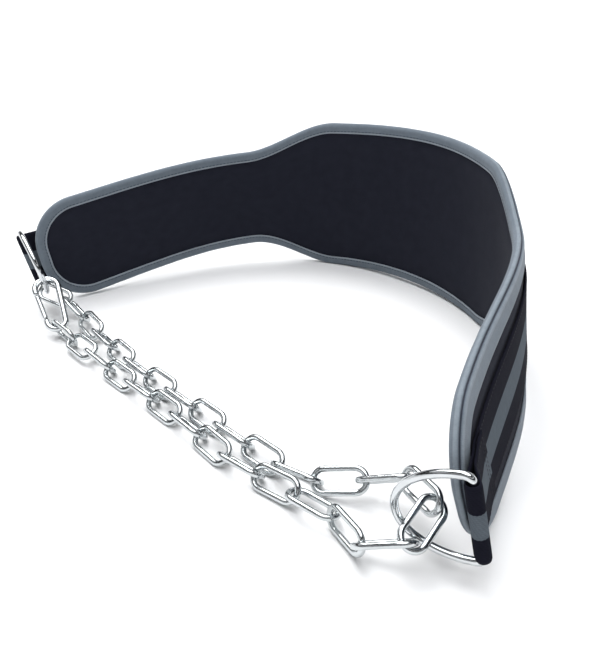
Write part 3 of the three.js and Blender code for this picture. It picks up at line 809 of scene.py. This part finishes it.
hook_path = [(nose.x, -nose.y), ((nose.x + flank_top.x) / 2, -(nose.y + flank_top.y) / 2)]
for k in range(TOP_STEPS + 1):
    a = -math.pi / 2 + flank + (-math.pi - 2 * flank) * k / TOP_STEPS
    hook_path.append((HOOK_TOP + HOOK_TOP * math.cos(a), HOOK_TOP * math.sin(a)))
for k in range(1, FLANK_STEPS):
    p = flank_top.lerp(flank_foot, k / FLANK_STEPS)
    hook_path.append((p.x, p.y))
for k in range(FOOT_STEPS + 1):
    a = math.pi / 2 - flank - (math.pi - 2 * flank) * k / FOOT_STEPS
    x = HOOK_REACH - HOOK_FOOT + HOOK_FOOT * math.cos(a)
    hook_path.append((x, HOOK_FOOT * math.sin(a)))
hook_path += [((heel.x + flank_foot.x) / 2, -(heel.y + flank_foot.y) / 2), (heel.x, -heel.y)]
print("carabiner:", len(hook_path), "steps, flank of", round(flank_length / MM, 1), "mm")

# %% Body of the carabiner
HOOK_SIDES, END_TAPER = 20, 0.93


def hook_thick(i):
    return HOOK_WIRE / 2 * (END_TAPER if i in (0, len(hook_path) - 1) else 1)


hook_bm = bmesh.new()
hook_points = [on_hook(x, y) for x, y in hook_path]
sweep(hook_bm, hook_points, hook_c, hook_thick, HOOK_SIDES, closed=False)
hook = finished("carabiner", hook_bm, "belt", ["carabiner_body"])

# %% The gate
DOME_STEPS, DOME_TIP = 8, 0.02
nose_point, heel_point = on_hook(nose.x, -nose.y), on_hook(heel.x, -heel.y)
gate_from = nose_point.lerp(heel_point, GAP / GATE_LENGTH)
gate_to = nose_point.lerp(heel_point, 1 - GAP / GATE_LENGTH)
gate_line = gate_to - gate_from

gate_run, gate_round = [], []
for k in range(DOME_STEPS + 1):
    a = math.pi / 2 * k / DOME_STEPS
    gate_run.append(GATE_WIRE / 2 * (1 - math.cos(a)))
    gate_round.append(max(DOME_TIP, math.sin(a)))
gate_run += [gate_line.length - d for d in reversed(gate_run)]
gate_round += list(reversed(gate_round))


def gate_thick(i):
    return GATE_WIRE / 2 * gate_round[i]


gate_bm = bmesh.new()
gate_points = [gate_from + gate_line.normalized() * d for d in gate_run]
sweep(gate_bm, gate_points, hook_c, gate_thick, HOOK_SIDES, closed=False)
gate = finished("carabiner_gate_bar", gate_bm, "gate", ["carabiner_gate"])

# %% The rivet in the gate's heel
RIVET_RADIUS, RIVET_PROUD, RIVET_BEVEL = 0.95 * MM, 0.5 * MM, 0.22 * MM

rivet_bm = bmesh.new()
bmesh.ops.create_cone(
    rivet_bm,
    cap_ends=True,
    segments=20,
    radius1=RIVET_RADIUS,
    radius2=RIVET_RADIUS,
    depth=GATE_WIRE + RIVET_PROUD,
)
rims = [e for e in rivet_bm.edges if abs(e.verts[0].co.z - e.verts[1].co.z) < 1e-9]
bmesh.ops.bevel(
    rivet_bm,
    geom=rims,
    offset=RIVET_BEVEL,
    segments=3,
    profile=0.5,
    affect="EDGES",
    material=-1,
)
place = Matrix((hook_a, hook_b, hook_c)).transposed().to_4x4()
place.translation = gate_to - gate_line.normalized() * GATE_WIRE / 2
bmesh.ops.transform(rivet_bm, verts=rivet_bm.verts, matrix=place)
rivet = finished("gate_rivet", rivet_bm, "gate")

# %% [markdown]
# ## Shader sums in plain Python
# Node trees for cloth are mostly arithmetic on the place along and across the weave. They could be
# wired up one node at a time, which takes a page for each cloth and is hard to read. So one small
# class stands for a socket: arithmetic is written as an ordinary sum and each sign adds its own
# Math node. Every other node comes from one method: its type, its settings and its inputs.


# %% A socket that can be added and multiplied
class Socket:
    def __init__(self, tree, socket):
        self.tree, self.socket = tree, socket

    def sum(self, operation, *terms):
        node = self.tree.nodes.new("ShaderNodeMath")
        node.operation = operation
        for place, term in zip(node.inputs, terms):
            if isinstance(term, Socket):
                self.tree.links.new(term.socket, place)
            else:
                place.default_value = term
        return Socket(self.tree, node.outputs[0])

    def __add__(self, other):
        return self.sum("ADD", self, other)

    def __sub__(self, other):
        return self.sum("SUBTRACT", self, other)

    def __rsub__(self, other):
        return self.sum("SUBTRACT", other, self)

    def __mul__(self, other):
        return self.sum("MULTIPLY", self, other)

    __radd__, __rmul__ = __add__, __mul__

    def wave(self, pitch):
        return self.sum("SINE", self * (2 * math.pi / pitch)) * 0.5 + 0.5

    def away(self, middle):
        return self.sum("ABSOLUTE", self - middle)


print("a socket takes the signs + - * and has", Socket.wave.__name__, "and", Socket.away.__name__)


# %% A tree of nodes
class Nodes:
    def __init__(self, tree):
        self.tree = tree

    def node(self, kind, settings=None, inputs=None, output=0):
        node = self.tree.nodes.new("ShaderNode" + kind)
        for name, value in (settings or {}).items():
            if name == "stops":
                while len(node.color_ramp.elements) < len(value):
                    node.color_ramp.elements.new(0.5)
                for element, (place, colour) in zip(node.color_ramp.elements, value):
                    element.position, element.color = place, colour
            else:
                setattr(node, name, value)
        for name, value in (inputs or {}).items():
            if isinstance(value, Socket):
                self.tree.links.new(value.socket, node.inputs[name])
            else:
                node.inputs[name].default_value = value
        return Socket(self.tree, node.outputs[output])

    def grain(self, vector, scale, detail=3.0, rough=0.55):
        inputs = {"Vector": vector, "Scale": scale, "Detail": detail, "Roughness": rough}
        return self.node("TexNoise", None, inputs)

    def fade(self, value, start, end):
        span = {"Value": value, "From Min": start, "From Max": end, "To Min": 1.0, "To Max": 0.0}
        return self.node("MapRange", {"interpolation_type": "SMOOTHSTEP"}, span)

    def blend(self, factor, a, b):
        return self.node("Mix", {"data_type": "RGBA"}, {0: factor, 6: a, 7: b}, 2)


print("a tree makes", [name for name in vars(Nodes) if name[0] != "_"])


# %% A finish for pieces
class Finish(Nodes):
    def __init__(self, name, **fixed):
        self.material = bpy.data.materials.new(name)
        self.material.use_nodes = True
        super().__init__(self.material.node_tree)
        self.shader = self.tree.nodes["Principled BSDF"]
        for socket, value in fixed.items():
            self.shader.inputs[socket.replace("_", " ")].default_value = value

    def cloth(self):
        spot = self.node("UVMap", {"uv_map": "cloth"})
        along = self.node("SeparateXYZ", None, {0: spot}, "X")
        return spot, along, self.node("SeparateXYZ", None, {0: spot}, "Y")

    def use(self, **links):
        for name, value in links.items():
            self.tree.links.new(value.socket, self.shader.inputs[name.replace("_", " ")])

    def relief(self, height, distance):
        inputs = {"Height": height, "Distance": distance, "Strength": 1.0}
        self.use(Normal=self.node("Bump", None, inputs))

    def paint(self, *pieces):
        for piece in pieces:
            piece.data.materials.clear()
            piece.data.materials.append(self.material)
        print("finish", self.material.name, "on", len(pieces), "pieces")


print("a finish adds", [name for name in vars(Finish) if name[0] != "_"])

# %% [markdown]
# ## The knitted face
# The knit on both sides of the panel is almost black with a blue cast. Velvet would need a strong
# sheen, but this cloth takes the light only softly at a slant, so it has next to none. Its loops
# are too small to colour one by one: they are a fine relief, and a slow mottle changes the tone.

# %% The knitted face of the panel
KNIT_DARK, KNIT_LIGHT = (0.0095, 0.0108, 0.0185, 1), (0.0165, 0.018, 0.028, 1)

knit = Finish("knit_face", Specular_IOR_Level=0.12, Sheen_Weight=0.02, Sheen_Roughness=0.5)
spot, along, across = knit.cloth()
knit_loops = along.wave(0.9 * MM) * across.wave(1.1 * MM)
mottle = knit.grain(spot, 90, 4)
knit.use(
    Base_Color=knit.blend(mottle, KNIT_DARK, KNIT_LIGHT),
    Roughness=0.82 + 0.14 * knit.grain(spot, 900, 2),
)
knit.relief(knit_loops * 0.5 + knit.grain(spot, 1400, 2) * 0.5, 0.12 * MM)
knit.paint(panel)

# %% [markdown]
# ## The ribbed tape
# The tape is a grey-blue weave with ribs across it, with a painted highlight along its edges. It is
# darker down in the seam, where no light comes, and worn lighter on the two ridges beside it. A
# mask from the mesh's own hollows and ridges could find these places, but the place across the tape
# is in its UV map and is exact, so each is a band at its own distance from the seam or the edge.

# %% Bands across the tape
TAPE_DARK, TAPE_LIGHT = (0.085, 0.107, 0.133, 1), (0.18, 0.213, 0.247, 1)
TAPE_WORN, TAPE_EDGE_HIGHLIGHT = (0.27, 0.31, 0.345, 1), (0.36, 0.4, 0.44, 1)
TAPE_SUNK, WORN_FROM_SEAM = (0.012, 0.017, 0.032, 1), 2.6 * MM

ribbed = Finish("ribbed_tape", Specular_IOR_Level=0.25, Sheen_Weight=0.12, Sheen_Roughness=0.45)
spot, along, across = ribbed.cloth()
# Painted highlight: a light line along the tape's inner edge, and a fainter one along its outer
# edge.
edge_highlight = ribbed.fade(across, 1.1 * MM, 1.7 * MM)
edge_highlight = edge_highlight + ribbed.fade(tape_run[-1] - across, 0.6 * MM, 1.2 * MM) * 0.4
from_seam = across.away(tape_run[SEAM_ROW])
sunk = ribbed.fade(from_seam, 0.7 * MM, 1.5 * MM)
shade = ribbed.grain(spot, 160, 5, 0.65) * 0.7 + ribbed.grain(spot, 750, 3, 0.7) * 0.3
worn = ribbed.fade(from_seam.away(WORN_FROM_SEAM), 0.4 * MM, 1.5 * MM) * shade
print("seam lies", round(tape_run[SEAM_ROW] / MM, 1), "mm from the tape's inner edge")

# %% The edge tape
tone = ribbed.blend(shade, TAPE_DARK, TAPE_LIGHT)
tone = ribbed.blend(worn, tone, TAPE_WORN)
# Lay the painted highlight along both edges of the tape.
tone = ribbed.blend(edge_highlight * 0.5, tone, TAPE_EDGE_HIGHLIGHT)
tone = ribbed.blend(sunk * 0.95, tone, TAPE_SUNK)
ribbed.use(Base_Color=tone, Roughness=0.72 + 0.2 * shade)
ribs = along.wave(1.3 * MM) * 0.6 + across.wave(0.9 * MM) * 0.25
ribbed.relief(ribs + ribbed.grain(spot, 1500, 2) * 0.5, 0.16 * MM)
ribbed.paint(tape)

# %% [markdown]
# ## The webbing
# The strap is a coarser weave of black cords with a grey stripe down the middle. The stripe could
# be a piece of its own, but on the real strap it is the same weave in another yarn. So one weave of
# slanting picks over long cords makes the relief of both, and the picks also fray the stripe's
# edge a little, as the coloured yarn does.

# %% The webbing strap
BLACK_DARK, BLACK_LIGHT = (0.005, 0.0052, 0.0095, 1), (0.0115, 0.0118, 0.0195, 1)
GREY_DARK, GREY_LIGHT = (0.058, 0.071, 0.085, 1), (0.12, 0.14, 0.162, 1)
CORD_PITCH, PICK_PITCH, FRAY = 1.25 * MM, 1.7 * MM, 0.25 * MM
STRIPE_INSIDE, STRIPE_OUTSIDE = 7.9 * MM, 8.4 * MM

woven = Finish("woven_strap", Specular_IOR_Level=0.025, Sheen_Weight=0.01, Sheen_Roughness=0.4)
spot, along, across = woven.cloth()
cords = across.wave(CORD_PITCH)
picks = (along + across * 0.5).wave(PICK_PITCH)
weave = cords * 0.55 + picks * 0.45
stripe = woven.fade(across.away(0.0) + picks * FRAY, STRIPE_INSIDE, STRIPE_OUTSIDE)
shade = woven.grain(spot, 220, 4, 0.6)
yarn = weave * 0.35 + shade * 0.65
black = woven.blend(yarn, BLACK_DARK, BLACK_LIGHT)
grey = woven.blend(yarn, GREY_DARK, GREY_LIGHT)
woven.use(Base_Color=woven.blend(stripe, black, grey), Roughness=0.68 + 0.25 * shade)
woven.relief(weave + woven.grain(spot, 1800, 2) * 0.35, 0.12 * MM)
woven.paint(strap)

# %% [markdown]
# ## The thread
# Sewing thread is twisted polyester, a little smoother than the cloth. It could share the cloth's
# material, but the beads carry no UV map, and the thread on the tape is darker than the tape. So
# each colour of thread is a small finish that reads the place on the object.

# %% Two colours of thread
for name, colour, piece in (
    ("tape_thread", (0.035, 0.045, 0.06, 1), tape_stitches),
    ("strap_thread", (0.009, 0.0095, 0.015, 1), strap_stitches),
):
    thread = Finish(name, Base_Color=colour, Specular_IOR_Level=0.15, Sheen_Weight=0.03)
    spot = thread.node("TexCoord", None, None, "Object")
    thread.use(Roughness=0.5 + 0.3 * thread.grain(spot, 900, 2))
    thread.relief(thread.grain(spot, 3500, 2), 0.1 * MM)
    thread.paint(piece)

# %% [markdown]
# ## Metal finishes
# The rings and the carabiner are plated and polished after bending, so they are smooth with faint
# drawing marks. The chain is zinc plated in a drum with its links knocking together, so it is a
# little bluer and duller, with small dents. One even metal would be quicker, but it would look like
# glass: the cloudy tone, the marks in the gloss and the dents are what make it steel.


# %% Plated steel
def plated(name, bright, dull, rough, dent_scale, dent_depth):
    steel = Finish(name, Metallic=1.0)
    spot = steel.node("TexCoord", None, None, "Object")
    cloud = steel.grain(spot, 60, 4, 0.6)
    marks = steel.grain(spot, dent_scale, 3, 0.6)
    steel.use(Base_Color=steel.blend(cloud, bright, dull), Roughness=rough + 0.12 * marks)
    steel.relief(marks, dent_depth)
    return steel


CHROME_BRIGHT, CHROME_DULL = (0.66, 0.68, 0.69, 1), (0.5, 0.52, 0.535, 1)
ZINC_BRIGHT, ZINC_DULL = (0.64, 0.665, 0.675, 1), (0.44, 0.465, 0.475, 1)

ring_steel = plated("ring_plating", CHROME_BRIGHT, CHROME_DULL, 0.06, 420, 0.04 * MM)
ring_steel.paint(left_ring, right_ring)
hook_steel = plated("carabiner_plating", CHROME_BRIGHT, CHROME_DULL, 0.07, 500, 0.04 * MM)
hook_steel.paint(hook, gate, rivet)
chain_steel = plated("zinc_plating", ZINC_BRIGHT, ZINC_DULL, 0.09, 650, 0.09 * MM)
chain_steel.paint(*links)

# %% [markdown]
# ## Floor and light
# Polished wire shows nothing but what stands round it, and in an even white room it would vanish
# against the floor. So the sky is pale low down, where the floor runs out into it, and higher up
# dark bands lie between bright strips, as between the lamps of a studio: the bands draw the dark
# lines in the wire. A row of area lamps would do the same, but each would also throw a shadow of
# its own. Here one soft sun from the back left gives the only one, towards the camera.

# %% The floor
FLOOR_REACH = 30

floor_bm = bmesh.new()
bmesh.ops.create_grid(floor_bm, x_segments=1, y_segments=1, size=FLOOR_REACH)
floor_mesh = bpy.data.meshes.new("floor")
floor_bm.to_mesh(floor_mesh)
floor_bm.free()
floor = bpy.data.objects.new("floor", floor_mesh)
bpy.context.scene.collection.objects.link(floor)
pale = Finish("pale_floor", Base_Color=(0.86, 0.86, 0.86, 1), Roughness=0.9, Specular_IOR_Level=0.1)
pale.paint(floor)

# %% The sky
SKY_SHADES = [
    (0.0, 1.0),
    (0.22, 0.95),
    (0.29, 0.02),
    (0.5, 0.03),
    (0.55, 0.9),
    (0.6, 0.9),
    (0.65, 0.03),
    (0.83, 0.05),
    (0.9, 3.9),
]

world = bpy.data.worlds.new("studio")
bpy.context.scene.world = world
world.use_nodes = True
sky = Nodes(world.node_tree)
toward = sky.node("TexCoord", None, None, "Generated")
height = sky.node("SeparateXYZ", None, {0: toward}, "Z")
stops = [(place, (grey, grey * 1.01, grey * 1.03, 1)) for place, grey in SKY_SHADES]
shades = sky.node("ValToRGB", {"stops": stops}, {0: height})
background = sky.tree.nodes["Background"]
sky.tree.links.new(shades.socket, background.inputs["Color"])
background.inputs["Strength"].default_value = 1.0
print("sky has", len(SKY_SHADES), "shades from the horizon to straight up")

# %% The sun behind a large cloth
SUN_STRENGTH, SUN_SPREAD, SUN_WAY = 2.1, 40, (1.1, -0.35, -1.6)

cloth_sun = bpy.data.lights.new("soft_sun", "SUN")
cloth_sun.energy, cloth_sun.angle = SUN_STRENGTH, math.radians(SUN_SPREAD)
holder = bpy.data.objects.new("soft_sun", cloth_sun)
bpy.context.scene.collection.objects.link(holder)
holder.rotation_euler = Vector(SUN_WAY).to_track_quat("-Z", "Y").to_euler()
print("sun", SUN_STRENGTH, "W/m2, spread over", SUN_SPREAD, "degrees")

# %% [markdown]
# ## The camera
# The camera stands a little above the belt in front of its right end, close enough that the near
# arm looks much taller than the far one. A longer lens from further off would flatten that, so the
# lens, the place and the tilt belong together. The lens is given by its length in pixels of a
# picture that is 661 pixels high, which is the longer side.

# %% Place the camera
FOCAL_PIXELS, PICTURE_HEIGHT, SENSOR = 700, 661, 36
LOOK_DOWN, LOOK_ROUND = 28.7, 44.9

camera_data = bpy.data.cameras.new("camera")
camera = bpy.data.objects.new("camera", camera_data)
bpy.context.scene.collection.objects.link(camera)
bpy.context.scene.camera = camera
camera_data.sensor_width, camera_data.lens = SENSOR, SENSOR * FOCAL_PIXELS / PICTURE_HEIGHT
camera_data.clip_start, camera_data.clip_end = 0.01, 100
camera.location = Vector((609.6, -262.4, 305.5)) * MM + PLACE
camera.rotation_euler = (math.radians(90 - LOOK_DOWN), 0, math.radians(LOOK_ROUND))
bpy.context.scene.view_settings.view_transform = "Standard"
print("lens", round(camera_data.lens, 1), "mm at", tuple(round(x, 3) for x in camera.location))

# %% [markdown]
# ## The box of the frame
# The dressed belt stays in the box of the bare frame, apart from a little cloth that stands proud.
